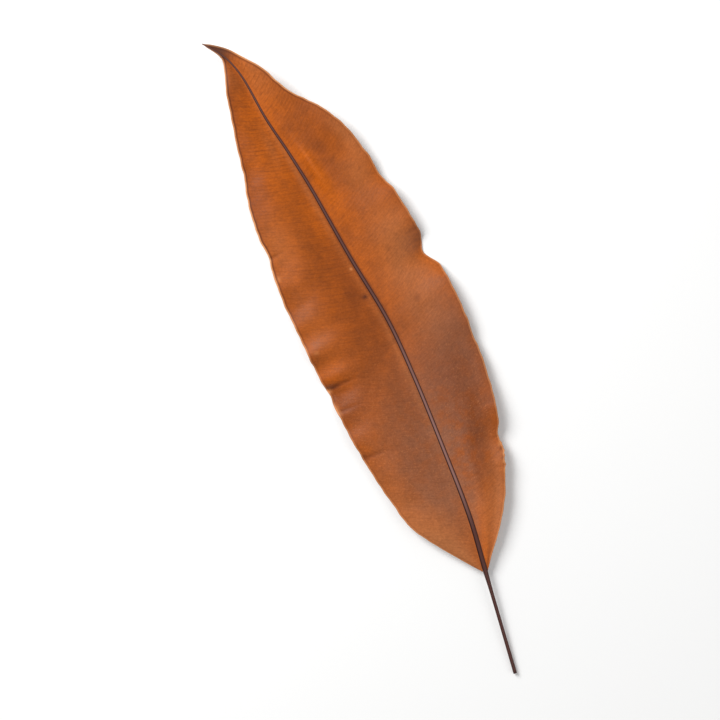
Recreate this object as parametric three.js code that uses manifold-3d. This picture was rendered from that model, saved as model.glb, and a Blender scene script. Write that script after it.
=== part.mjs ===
// A preserved tropical leaf: one long lance-shaped blade with a raised midrib, drawn-out tip and cut stalk.
// It lies face up on a flat surface, as picked, and it is one solid because it grew as one piece.
// Millimetres, +Z up. +Y runs from the stalk to the tip and +X to the right of the leaf, seen from above.
// The origin is under the middle of the leaf's box, on the surface that it lies on.
import * as THREE from "three";
import { mergeVertices } from "three/addons/utils/BufferGeometryUtils.js";
import Module from "manifold-3d";

// Driving dimensions
const BLADE_LENGTH = 318; // from the foot of the blade to the end of the tip, along +Y
const STALK_LENGTH = 56; // below the foot of the blade
const STALK_WIDTH = 2;
const BLADE_THICKNESS = 0.7;
const KEEL_SHARE = 0.45; // the share of the midrib's height that stands below the blade
const NARROWEST_HALF = 0.4; // the blade never gets narrower than this on either side

// Half widths of the blade: [distance from its foot, left of the midrib, right of the midrib]
const OUTLINE = [
  [0, 1.3, 1.3],
  [8, 9.8, 5.9],
  [20, 21.5, 13.5],
  [35, 31.6, 21.8],
  [55, 37.2, 29.3],
  [80, 42.3, 34.5],
  [110, 45.6, 37.9],
  [140, 46.8, 38.8],
  [170, 44.4, 39.2],
  [200, 39.7, 38.4],
  [225, 35.7, 35.3],
  [245, 29.3, 32.2],
  [260, 22.6, 25.8],
  [275, 16.4, 17.8],
  [290, 11.6, 11.6],
  [300, 6.2, 6.6],
  [307, 1.8, 4.3],
  [BLADE_LENGTH, 0.5, 0.5],
];

// The midrib seen from above: [distance from the blade's foot, offset to the right]
const MIDRIB_PLAN = [
  [-STALK_LENGTH, -10.5],
  [0, 0],
  [30, 5.7],
  [70, 9.9],
  [110, 13.3],
  [143, 14.5],
  [180, 11.9],
  [205, 10.75],
  [225, 9.8],
  [247, 7.75],
  [268, 5.2],
  [290, 4.3],
  [300, 2.6],
  [308, -0.4],
  [BLADE_LENGTH, -7],
];

// The underside of the midrib: [distance from the blade's foot, height]. Below 0 it is pressed flat.
const MIDRIB_RISE = [
  [-STALK_LENGTH, 0],
  [-10, 2.4],
  [40, 1.8],
  [100, -0.3],
  [185, -0.3],
  [240, 2.6],
  [290, 7.5],
  [BLADE_LENGTH, 9],
];

// The midrib and stalk: [distance from the blade's foot, width, height]
const MIDRIB_SECTION = [
  [-STALK_LENGTH, STALK_WIDTH, STALK_WIDTH],
  [-12, STALK_WIDTH, STALK_WIDTH],
  [5, 2.8, 2.5],
  [70, 2.4, 2.3],
  [150, 2.2, 2.1],
  [220, 1.8, 1.7],
  [270, 1.4, 1.4],
  [300, 1.0, 1.2],
  [BLADE_LENGTH, 0.7, 0.9],
];

// The two halves of the blade. Each is cupped in an arch: rise is its height as a share of the half width,
// turn is how far round the arch the edge lies, and a power of 2 leaves the midrib level before it climbs.
// The edge waves, starting at waveStart, and ripples in shorter waves around one place. A dent draws the edge
// inward and dips it, and pleat is the height of the lengthwise pleats near the foot.
const LEFT = {
  width: smoothThrough(OUTLINE.map(([y, left]) => [y, left])),
  cup: { rise: 0.12, turn: 0.8 * Math.PI, power: 2 },
  waveStart: 73,
  ripple: { at: 141, height: 1.1 },
  dents: [
    { at: 119, reach: 9, inward: 0.9, dip: 1.5 },
    { at: 204, reach: 12, inward: 1.2, dip: 1.5 },
    { at: 247, reach: 9, inward: 0.8, dip: 1 },
  ],
  pleat: 0,
};
const RIGHT = {
  width: smoothThrough(OUTLINE.map(([y, , right]) => [y, right])),
  cup: { rise: 0.15, turn: 0.55 * Math.PI, power: 1 },
  waveStart: 118,
  ripple: { at: 178, height: 0.5 },
  dents: [
    { at: 65, reach: 9, inward: 1.9, dip: 3.5 },
    { at: 118, reach: 10, inward: 0.8, dip: 1.5 },
    { at: 164, reach: 11, inward: 4, dip: 6 },
    { at: 212, reach: 12, inward: 1.4, dip: 2.5 },
  ],
  pleat: 1.2,
};
const EDGE_WAVE = { length: 61, share: 0.03 }; // share of the half width that the edge waves up and down
const RIPPLES = { length: 20, reach: 95 };
const EDGE_POWER = 3; // waves, ripples and dips grow with this power of the distance from the midrib
const DIP_SPREAD = 1.8; // a dip runs further along the edge than its dent
const PLEATS = { at: 60, reach: 75, count: 1.6, start: 0.27 };
const TIP_FOLD = { from: 262, slope: 0.65 }; // the tip folds up into a channel

// Faceting
const ROW_STEP = 4;
const COLUMNS = [-1, -0.9, -0.72, -0.5, -0.28, -0.1, 0, 0.1, 0.28, 0.5, 0.72, 0.9, 1];
const RIB_SIDES = 8;
const SLOPE_STEP = 0.5; // the span over which a slope along the leaf is measured
const SLOPE_SHARE = 0.02; // the same across the leaf, as a share of the half width

const LEAF_COLOUR = 0xb05a22;

// A smooth function through points [x, value]: cubics whose slopes come from the points either side.
function smoothThrough(points) {
  const last = points.length - 1;
  const slopes = points.map((_, i) => {
    const [x0, v0] = points[Math.max(i - 1, 0)];
    const [x1, v1] = points[Math.min(i + 1, last)];
    return (v1 - v0) / (x1 - x0);
  });
  return (x) => {
    let i = 0;
    while (i < last - 1 && x > points[i + 1][0]) i += 1;
    const [x0, v0] = points[i];
    const [x1, v1] = points[i + 1];
    const span = x1 - x0;
    const u = Math.min(1, Math.max(0, (x - x0) / span));
    const w = 1 - u;
    const ends = v0 * w * w * (1 + 2 * u) + v1 * u * u * (1 + 2 * w);
    return ends + span * u * w * (slopes[i] * w - slopes[i + 1] * u);
  };
}

// A round hump that is 1 at its middle and 0 from its reach outwards.
function hump(x, at, reach) {
  const q = Math.abs(x - at) / reach;
  return q < 1 ? 0.5 + 0.5 * Math.cos(Math.PI * q) : 0;
}

// A wave between -1 and 1 that starts level, by how many times it has come round.
const sway = (turns) => Math.sin(2 * Math.PI * turns);

const sum = (items, amount) => items.reduce((total, item) => total + amount(item), 0);
const ribOffset = smoothThrough(MIDRIB_PLAN);
const ribRise = smoothThrough(MIDRIB_RISE);
const ribWidth = smoothThrough(MIDRIB_SECTION.map(([y, width]) => [y, width]));
const ribHeight = smoothThrough(MIDRIB_SECTION.map(([y, , height]) => [y, height]));

// A point beside the midrib, seen from above: across is measured square to the midrib.
function besideRib(y, across) {
  const slope = (ribOffset(y + SLOPE_STEP) - ribOffset(y - SLOPE_STEP)) / (2 * SLOPE_STEP);
  const length = Math.hypot(1, slope);
  return [ribOffset(y) + across / length, y - (across * slope) / length];
}

// The half of the blade that t is on: t is -1 at the left edge, 0 at the midrib and 1 at the right edge.
const sideOf = (t) => (t < 0 ? LEFT : RIGHT);

// The half width of the blade, with the dents in its edge.
function halfWidth(y, t) {
  const { width, dents } = sideOf(t);
  const drawnIn = sum(dents, ({ at, reach, inward }) => inward * hump(y, at, reach));
  return Math.max(NARROWEST_HALF, width(y) - drawnIn);
}

// The height of the blade's underside.
function underside(y, t) {
  const { cup, waveStart, ripple, dents, pleat } = sideOf(t);
  const half = halfWidth(y, t);
  const a = Math.abs(t);
  const arch = half * cup.rise * Math.sin(cup.turn * a) ** cup.power;
  const fold = half * a * TIP_FOLD.slope * THREE.MathUtils.smoothstep(y, TIP_FOLD.from, BLADE_LENGTH);
  const wave = half * EDGE_WAVE.share * sway((y - waveStart) / EDGE_WAVE.length);
  const rippled = ripple.height * hump(y, ripple.at, RIPPLES.reach) * sway((y - ripple.at) / RIPPLES.length);
  const dips = sum(dents, ({ at, reach, dip }) => dip * hump(y, at, DIP_SPREAD * reach));
  const pleats = pleat * a * hump(y, PLEATS.at, PLEATS.reach) * sway(PLEATS.count * (a - PLEATS.start));
  const foot = ribRise(y) + KEEL_SHARE * ribHeight(y);
  return Math.max(0, foot + arch + fold + pleats + (wave + rippled - dips) * a ** EDGE_POWER);
}

// The height of the blade's upper face, a full thickness above the underside measured square to the blade.
function upperside(y, t) {
  const along = (underside(y + SLOPE_STEP, t) - underside(y - SLOPE_STEP, t)) / (2 * SLOPE_STEP);
  const low = Math.max(-1, t - SLOPE_SHARE);
  const high = Math.min(1, t + SLOPE_SHARE);
  const across = (underside(y, high) - underside(y, low)) / ((high - low) * halfWidth(y, t));
  return underside(y, t) + BLADE_THICKNESS * Math.hypot(1, along, across);
}

// Rows of points as one closed body. Each row runs left to right over the top and back along the underside,
// so point i on top lies over point (count - 1 - i) below. Both faces are split along the same diagonals.
function closedBody(rows) {
  const count = rows[0].length;
  const half = count / 2;
  const triangles = [];
  for (let row = 0; row + 1 < rows.length; row += 1) {
    for (let i = 0; i < count; i += 1) {
      const a = row * count + i;
      const b = row * count + ((i + 1) % count);
      const c = a + count;
      const d = b + count;
      if (i < half) triangles.push(a, b, d, a, d, c);
      else triangles.push(a, b, c, b, d, c);
    }
  }
  const end = (rows.length - 1) * count;
  for (let i = 0; i + 1 < half; i += 1) {
    const under = count - 1 - i;
    triangles.push(i, under - 1, i + 1, i, under, under - 1);
    triangles.push(end + i, end + i + 1, end + under - 1, end + i, end + under - 1, end + under);
  }
  return { positions: rows.flat(2), triangles };
}

// Even stations from one distance along the leaf to another, close to the row step.
function stations(from, to) {
  const steps = Math.round((to - from) / ROW_STEP);
  return Array.from({ length: steps + 1 }, (_, i) => from + ((to - from) * i) / steps);
}

// The blade: its upper face and its underside, row by row from foot to tip.
function bladeBody() {
  const rows = stations(0, BLADE_LENGTH).map((y) => {
    const plan = COLUMNS.map((t) => besideRib(y, t * halfWidth(y, t)));
    const upper = COLUMNS.map((t, i) => [...plan[i], upperside(y, t)]);
    const under = COLUMNS.map((t, i) => [...plan[i], underside(y, t)]);
    return [...upper, ...under.reverse()];
  });
  return closedBody(rows);
}

// The midrib and stalk: an oval rod that tapers to the tip, flattened where it bears on the surface.
function midribBody() {
  const rows = stations(-STALK_LENGTH, BLADE_LENGTH).map((y) =>
    Array.from({ length: RIB_SIDES }, (_, i) => {
      const angle = Math.PI - ((i + 0.5) * 2 * Math.PI) / RIB_SIDES;
      const across = 0.5 * ribWidth(y) * Math.cos(angle);
      const height = ribRise(y) + 0.5 * ribHeight(y) * (1 + Math.sin(angle));
      return [...besideRib(y, across), Math.max(0, height)];
    }),
  );
  return closedBody(rows);
}

const wasm = await Module();
wasm.setup();

// A closed body as a solid that can be joined to another.
function solidOf({ positions, triangles }) {
  const geometry = new THREE.BufferGeometry();
  geometry.setAttribute("position", new THREE.Float32BufferAttribute(positions, 3));
  geometry.setIndex(triangles);
  const merged = mergeVertices(geometry);
  const vertProperties = merged.attributes.position.array;
  const triVerts = new Uint32Array(merged.index.array);
  return new wasm.Manifold(new wasm.Mesh({ numProp: 3, vertProperties, triVerts }));
}

// A joined solid as three.js geometry.
function geometryOf(solid) {
  const { vertProperties, triVerts } = solid.getMesh();
  const geometry = new THREE.BufferGeometry();
  geometry.setAttribute("position", new THREE.BufferAttribute(vertProperties, 3));
  geometry.setIndex(new THREE.BufferAttribute(triVerts, 1));
  geometry.computeVertexNormals();
  return geometry;
}

// The whole leaf, with the middle of its box over the origin.
const geometry = geometryOf(solidOf(bladeBody()).add(solidOf(midribBody())));
geometry.computeBoundingBox();
const middle = geometry.boundingBox.getCenter(new THREE.Vector3());
geometry.translate(-middle.x, -middle.y, 0);

const finish = new THREE.MeshStandardMaterial({ color: LEAF_COLOUR, roughness: 0.5, metalness: 0 });
const leaf = new THREE.Mesh(geometry, finish);
leaf.name = "leaf";

const part = new THREE.Group();
part.add(leaf);
export default part;
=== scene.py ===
"""A preserved tropical leaf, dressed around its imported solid.

The blade, midrib and stalk are one closed mesh that follows the solid's own shape, in much finer
steps. Its rows run along the side veins, so that the veins can be raised from it, and its finish is
made of procedural nodes. Shapes are in millimetres until a mesh is made, and every Blender object is
in metres.
"""

import logging
import math
from dataclasses import dataclass, field
from enum import Enum
from typing import Any, Sequence

import bmesh
import bpy
import numpy as np
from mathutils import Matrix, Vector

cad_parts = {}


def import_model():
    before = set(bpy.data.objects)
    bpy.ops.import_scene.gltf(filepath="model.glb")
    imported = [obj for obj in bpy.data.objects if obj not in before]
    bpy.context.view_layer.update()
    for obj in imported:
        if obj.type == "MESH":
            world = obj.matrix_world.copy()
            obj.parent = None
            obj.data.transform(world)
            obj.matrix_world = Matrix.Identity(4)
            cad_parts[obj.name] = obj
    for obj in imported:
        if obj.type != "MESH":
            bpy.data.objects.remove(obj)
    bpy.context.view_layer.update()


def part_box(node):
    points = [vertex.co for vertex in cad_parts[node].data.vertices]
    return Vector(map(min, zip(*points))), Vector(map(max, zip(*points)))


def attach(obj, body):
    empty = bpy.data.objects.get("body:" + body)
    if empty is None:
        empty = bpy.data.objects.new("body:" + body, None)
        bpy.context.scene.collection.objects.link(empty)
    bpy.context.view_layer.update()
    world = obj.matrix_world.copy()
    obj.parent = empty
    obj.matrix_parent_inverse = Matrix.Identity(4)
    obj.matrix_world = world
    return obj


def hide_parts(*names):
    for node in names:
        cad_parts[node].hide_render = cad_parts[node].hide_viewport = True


log = logging.getLogger("leaf")

MM = 0.001
TINY = 1e-6
WHITE = (1.0, 1.0, 1.0, 1.0)
NODE = "leaf"
BODY = "root"

Colour = tuple[float, float, float]
Range = tuple[float, float]
Pairs = tuple[Range, ...]
Array = np.ndarray
Values = dict[str, Array]
Socket = bpy.types.NodeSocket
Inputs = dict[str | int, Any]


class Side(Enum):
    """The two halves of the blade, by the sign of their distance from the midrib."""

    LEFT = -1
    RIGHT = 1


class Face(Enum):
    """The two faces of the blade."""

    UPPER = 1
    UNDER = -1


def srgb(red: int, green: int, blue: int) -> Colour:
    """A display colour, from 0 to 255, as the linear colour that shaders take."""

    def linear(channel: int) -> float:
        share = channel / 255
        return share / 12.92 if share <= 0.04045 else ((share + 0.055) / 1.055) ** 2.4

    return linear(red), linear(green), linear(blue)


def placed(name: str, data: bpy.types.ID) -> bpy.types.Object:
    """A new object in the scene."""
    made = bpy.data.objects.new(name, data)
    bpy.context.scene.collection.objects.link(made)
    return made


def hump(x: Array, at: float, reach: float) -> Array:
    """A round hump that is 1 at its middle and 0 from its reach outwards."""
    q = np.minimum(np.abs(x - at) / reach, 1.0)
    return 0.5 + 0.5 * np.cos(math.pi * q)


def smoothstep(x: Array, low: float, high: float) -> Array:
    """A soft step from 0 at low to 1 at high."""
    u = np.clip((x - low) / (high - low), 0.0, 1.0)
    return u * u * (3 - 2 * u)


def grown(x: Array, span: Range, least: float, most: float = 1.0) -> Array:
    """A value that goes softly from least at the start of a span to most at its end."""
    return least + (most - least) * smoothstep(x, *span)


@dataclass(frozen=True)
class Track:
    """A smooth line through given points: cubics whose slopes come from the points either side."""

    points: Pairs

    def __call__(self, x: Array) -> Array:
        """Reads the line at distances along the leaf."""
        xs, values = np.array(self.points, float).T
        last = len(xs) - 1
        before = np.maximum(np.arange(len(xs)) - 1, 0)
        after = np.minimum(np.arange(len(xs)) + 1, last)
        slopes = (values[after] - values[before]) / (xs[after] - xs[before])
        i = np.clip(np.searchsorted(xs, x) - 1, 0, last - 1)
        span = xs[i + 1] - xs[i]
        u = np.clip((x - xs[i]) / span, 0.0, 1.0)
        w = 1 - u
        ends = values[i] * w * w * (1 + 2 * u) + values[i + 1] * u * u * (1 + 2 * w)
        return ends + span * u * w * (slopes[i] * w - slopes[i + 1] * u)


@dataclass(frozen=True)
class Dent:
    """A place where the edge is drawn inward and dips."""

    at: float
    reach: float
    inward: float
    dip: float


@dataclass(frozen=True)
class Crease:
    """A short sunk fold that runs in from the edge, square to the midrib, and narrows inward."""

    at: float
    inner: float
    depth: float
    width: float


@dataclass(frozen=True)
class Half:
    """One half of the blade: its outline, cupping, waves and dents, and its rim's painted light and
    shade.
    """

    widths: Pairs
    rise: float
    turn: float
    power: int
    wave_start: float
    ripple: float
    ripple_at: float
    pleat: float
    # How strongly the rim takes its painted highlight and groove shade, and where that grows.
    hem: Range
    rim_light_and_shade_growth: Range
    dents: tuple[Dent, ...]
    creases: tuple[Crease, ...]


BLADE_LENGTH = 318.0
STALK_LENGTH = 56.0
STALK_WIDTH = 2.0

LEFT_HALF = Half(
    widths=(
        (0, 1.3), (8, 9.8), (20, 21.5), (35, 31.6), (55, 37.2), (80, 42.3),
        (110, 45.6), (140, 46.8), (170, 44.4), (200, 39.7), (225, 35.7), (245, 29.3),
        (260, 22.6), (275, 16.4), (290, 11.6), (300, 6.2), (307, 1.8), (BLADE_LENGTH, 0.5),
    ),
    rise=0.12,
    turn=0.8 * math.pi,
    power=2,
    wave_start=73,
    ripple=1.1,
    ripple_at=141,
    pleat=0,
    hem=(0.25, 1.0),
    rim_light_and_shade_growth=(130, 215),
    dents=(Dent(119, 9, 0.9, 1.5), Dent(204, 12, 1.2, 1.5), Dent(247, 9, 0.8, 1)),
    creases=(
        Crease(122, 0.5, 0.8, 1.5),
        Crease(79, 0.58, 0.6, 1.8),
        Crease(202, 0.72, 0.4, 1.0),
        Crease(108, 0.6, 0.35, 1.6),
    ),
)
RIGHT_HALF = Half(
    widths=(
        (0, 1.3), (8, 5.9), (20, 13.5), (35, 21.8), (55, 29.3), (80, 34.5),
        (110, 37.9), (140, 38.8), (170, 39.2), (200, 38.4), (225, 35.3), (245, 32.2),
        (260, 25.8), (275, 17.8), (290, 11.6), (300, 6.6), (307, 4.3), (BLADE_LENGTH, 0.5),
    ),
    rise=0.15,
    turn=0.55 * math.pi,
    power=1,
    wave_start=118,
    ripple=0.5,
    ripple_at=178,
    pleat=1.2,
    hem=(0.15, 0.75),
    rim_light_and_shade_growth=(235, 275),
    dents=(Dent(65, 9, 1.9, 3.5), Dent(118, 10, 0.8, 1.5), Dent(164, 11, 4, 6), Dent(212, 12, 1.4, 2.5)),
    creases=(
        Crease(171, 0.74, 0.2, 0.9),
        Crease(177, 0.7, 0.24, 1.0),
        Crease(183, 0.74, 0.18, 0.9),
        Crease(64, 0.8, 0.25, 1.1),
        Crease(57, 0.86, 0.2, 0.8),
        Crease(51, 0.88, 0.16, 0.8),
    ),
)


@dataclass(frozen=True)
class LeafForm:
    """The leaf's shape, in millimetres from the foot of the blade, as the solid has it.

    In its methods y is a distance along the leaf, and a is the share of the way from the midrib to the
    edge of a half.
    """

    left: Half = LEFT_HALF
    right: Half = RIGHT_HALF
    thickness: float = 0.7
    keel_share: float = 0.45
    narrowest: float = 0.4
    edge_power: int = 3
    dip_spread: float = 1.8
    wave_length: float = 61
    wave_share: float = 0.03
    ripple_length: float = 20
    ripple_reach: float = 95
    pleat_at: float = 60
    pleat_reach: float = 75
    pleat_count: float = 1.6
    pleat_start: float = 0.27
    fold_from: float = 262
    fold_slope: float = 0.65
    slope_step: float = 0.5
    slope_share: float = 0.02
    rib_offset: Track = Track((
        (-STALK_LENGTH, -10.5), (0, 0), (30, 5.7), (70, 9.9), (110, 13.3), (143, 14.5), (180, 11.9),
        (205, 10.75), (225, 9.8), (247, 7.75), (268, 5.2), (290, 4.3), (300, 2.6), (308, -0.4),
        (BLADE_LENGTH, -7),
    ))
    rib_rise: Track = Track((
        (-STALK_LENGTH, 0), (-10, 2.4), (40, 1.8), (100, -0.3), (185, -0.3), (240, 2.6),
        (290, 7.5), (BLADE_LENGTH, 9),
    ))
    rib_width: Track = Track((
        (-STALK_LENGTH, STALK_WIDTH), (-12, STALK_WIDTH), (5, 2.8), (70, 2.4), (150, 2.2),
        (220, 1.8), (270, 1.4), (300, 1.0), (BLADE_LENGTH, 0.7),
    ))
    rib_height: Track = Track((
        (-STALK_LENGTH, STALK_WIDTH), (-12, STALK_WIDTH), (5, 2.5), (70, 2.3), (150, 2.1),
        (220, 1.7), (270, 1.4), (300, 1.2), (BLADE_LENGTH, 0.9),
    ))

    def half(self, side: Side) -> Half:
        """The half of the blade on a side."""
        return self.left if side is Side.LEFT else self.right

    def outline(self, side: Side, y: Array) -> Array:
        """The half width of the blade, with the dents in its edge."""
        half = self.half(side)
        width = Track(half.widths)(y)
        for dent in half.dents:
            width = width - dent.inward * hump(y, dent.at, dent.reach)
        return np.maximum(self.narrowest, width)

    def foot(self, y: Array) -> Array:
        """The height at which the blade's underside leaves the midrib."""
        return self.rib_rise(y) + self.keel_share * self.rib_height(y)

    def underside(self, side: Side, y: Array, a: Array) -> Array:
        """The height of the blade's underside."""
        half = self.half(side)
        width = self.outline(side, y)
        arch = width * half.rise * np.sin(half.turn * a) ** half.power
        fold = width * a * self.fold_slope * smoothstep(y, self.fold_from, BLADE_LENGTH)
        wave = width * self.wave_share * np.sin(2 * math.pi * (y - half.wave_start) / self.wave_length)
        ripple = half.ripple * hump(y, half.ripple_at, self.ripple_reach)
        wave = wave + ripple * np.sin(2 * math.pi * (y - half.ripple_at) / self.ripple_length)
        dips = sum(dent.dip * hump(y, dent.at, self.dip_spread * dent.reach) for dent in half.dents)
        pleats = half.pleat * a * hump(y, self.pleat_at, self.pleat_reach)
        pleats = pleats * np.sin(2 * math.pi * self.pleat_count * (a - self.pleat_start))
        return np.maximum(0.0, self.foot(y) + arch + fold + pleats + (wave - dips) * a**self.edge_power)

    def steepness(self, side: Side, y: Array, a: Array) -> Array:
        """How much taller than its thickness the blade stands where it slopes."""
        step = self.slope_step
        along = (self.underside(side, y + step, a) - self.underside(side, y - step, a)) / (2 * step)
        low = np.maximum(0.0, a - self.slope_share)
        high = np.minimum(1.0, a + self.slope_share)
        rise = self.underside(side, y, high) - self.underside(side, y, low)
        across = rise / ((high - low) * self.outline(side, y))
        return np.sqrt(1 + along**2 + across**2)

    def beside_rib(self, y: Array, across: Array) -> tuple[Array, Array]:
        """The x and y of points beside the midrib, at distances square to it, positive to the right."""
        step = self.slope_step
        slope = (self.rib_offset(y + step) - self.rib_offset(y - step)) / (2 * step)
        length = np.sqrt(1 + slope**2)
        return self.rib_offset(y) + across / length, y - across * slope / length


@dataclass
class Strip:
    """A band of the leaf's skin: arrays with a row for each vein step and a column for each point."""

    x: Array
    y: Array
    z: Array
    values: Values

    def back(self) -> "Strip":
        """The same strip with its columns in the opposite order."""
        values = {name: value[:, ::-1] for name, value in self.values.items()}
        return Strip(self.x[:, ::-1], self.y[:, ::-1], self.z[:, ::-1], values)

    @staticmethod
    def beside(strips: Sequence["Strip"]) -> "Strip":
        """Sets strips with the same number of rows side by side as one."""

        def joined(arrays: list[Array]) -> Array:
            return np.concatenate(arrays, axis=1)

        values = {name: joined([strip.values[name] for strip in strips]) for name in strips[0].values}
        x = joined([strip.x for strip in strips])
        y = joined([strip.y for strip in strips])
        z = joined([strip.z for strip in strips])
        return Strip(x, y, z, values)


@dataclass(frozen=True)
class Patch:
    """A soft patch of colour or height, placed by distance along the leaf and share across it."""

    at: float
    across: float
    length: float
    width: float
    amount: float


Patches = tuple[Patch, ...]


def patch_set(*rows: tuple[float, float, float, float, float]) -> Patches:
    """Patches from rows of at, across, length, width and amount."""
    return tuple(Patch(*row) for row in rows)


class NodeSketch:
    """Builds a node tree in short steps."""

    tree: bpy.types.NodeTree

    def node(self, kind: str, inputs: Inputs | None = None, **settings: Any) -> bpy.types.Node:
        """Adds a node of a kind, with values or links for its inputs, and its own settings."""
        made = self.tree.nodes.new(kind)
        for name, value in settings.items():
            setattr(made, name, value)
        for name, value in (inputs or {}).items():
            self.feed(made.inputs[name], value)
        return made

    def feed(self, socket: Socket, value: Any) -> None:
        """Links a socket to another one, or sets its value."""
        if isinstance(value, Socket):
            self.tree.links.new(value, socket)
        else:
            socket.default_value = value

    def math(self, operation: str, first: Any, second: Any = 0.0, clamp: bool = False) -> Socket:
        """One sum on one or two values or links, kept between 0 and 1 if it is clamped."""
        inputs = {0: first, 1: second}
        return self.node("ShaderNodeMath", inputs, operation=operation, use_clamp=clamp).outputs[0]

    def times(self, first: Any, second: Any) -> Socket:
        """The product of two values."""
        return self.math("MULTIPLY", first, second)

    def attribute(self, name: str) -> Socket:
        """The value of one of the piece's own attributes, which each kind of tree reads its own way."""
        raise NotImplementedError

    def vein_nearness(self) -> Socket:
        """How near the side veins a point is: 0.5 on each and 0 halfway between two."""
        turn = self.math("FRACT", self.attribute("vein_phase"))
        return self.math("ABSOLUTE", self.math("SUBTRACT", turn, 0.5))


@dataclass
class ShaderSketch(NodeSketch):
    """Builds one material around a Principled shader."""

    name: str
    material: bpy.types.Material = field(init=False)
    shader: bpy.types.Node = field(init=False)

    def __post_init__(self) -> None:
        """Makes the material."""
        self.material = bpy.data.materials.new(self.name)
        self.material.use_nodes = True
        self.tree = self.material.node_tree
        self.shader = self.tree.nodes["Principled BSDF"]

    def finish(self, settings: dict[str, Any]) -> bpy.types.Material:
        """Feeds the shader's inputs, by name, and gives the material."""
        for name, value in settings.items():
            self.feed(self.shader.inputs[name], value)
        return self.material

    def attribute(self, name: str) -> Socket:
        """The value of one of the piece's own attributes."""
        return self.node("ShaderNodeAttribute", attribute_name=name).outputs["Fac"]

    def between(
        self, value: Any, low: float, high: float, start: float = 0.0, end: float = 1.0
    ) -> Socket:
        """Maps a value softly from low and high to start and end, and keeps it between those."""
        inputs = {0: value, 1: low, 2: high, 3: start, 4: end}
        return self.node("ShaderNodeMapRange", inputs, interpolation_type="SMOOTHSTEP").outputs[0]

    def mix(self, share: Any, first: Any, second: Any) -> Socket:
        """Mixes two colours, with share as how much there is of the second."""
        made = self.node("ShaderNodeMix", {0: share}, data_type="RGBA")
        for socket, colour in zip(made.inputs[6:8], (first, second)):
            self.feed(socket, colour if isinstance(colour, Socket) else (*colour, 1.0))
        return made.outputs[2]

    def noise(self, vector: Any, scale: float, detail: float = 2.0, rough: float = 0.5) -> Socket:
        """Cloudy noise around 0.5, with a count of finer layers and their strength."""
        inputs = {"Vector": vector, "Scale": scale, "Detail": detail, "Roughness": rough}
        return self.node("ShaderNodeTexNoise", inputs).outputs[0]


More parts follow.
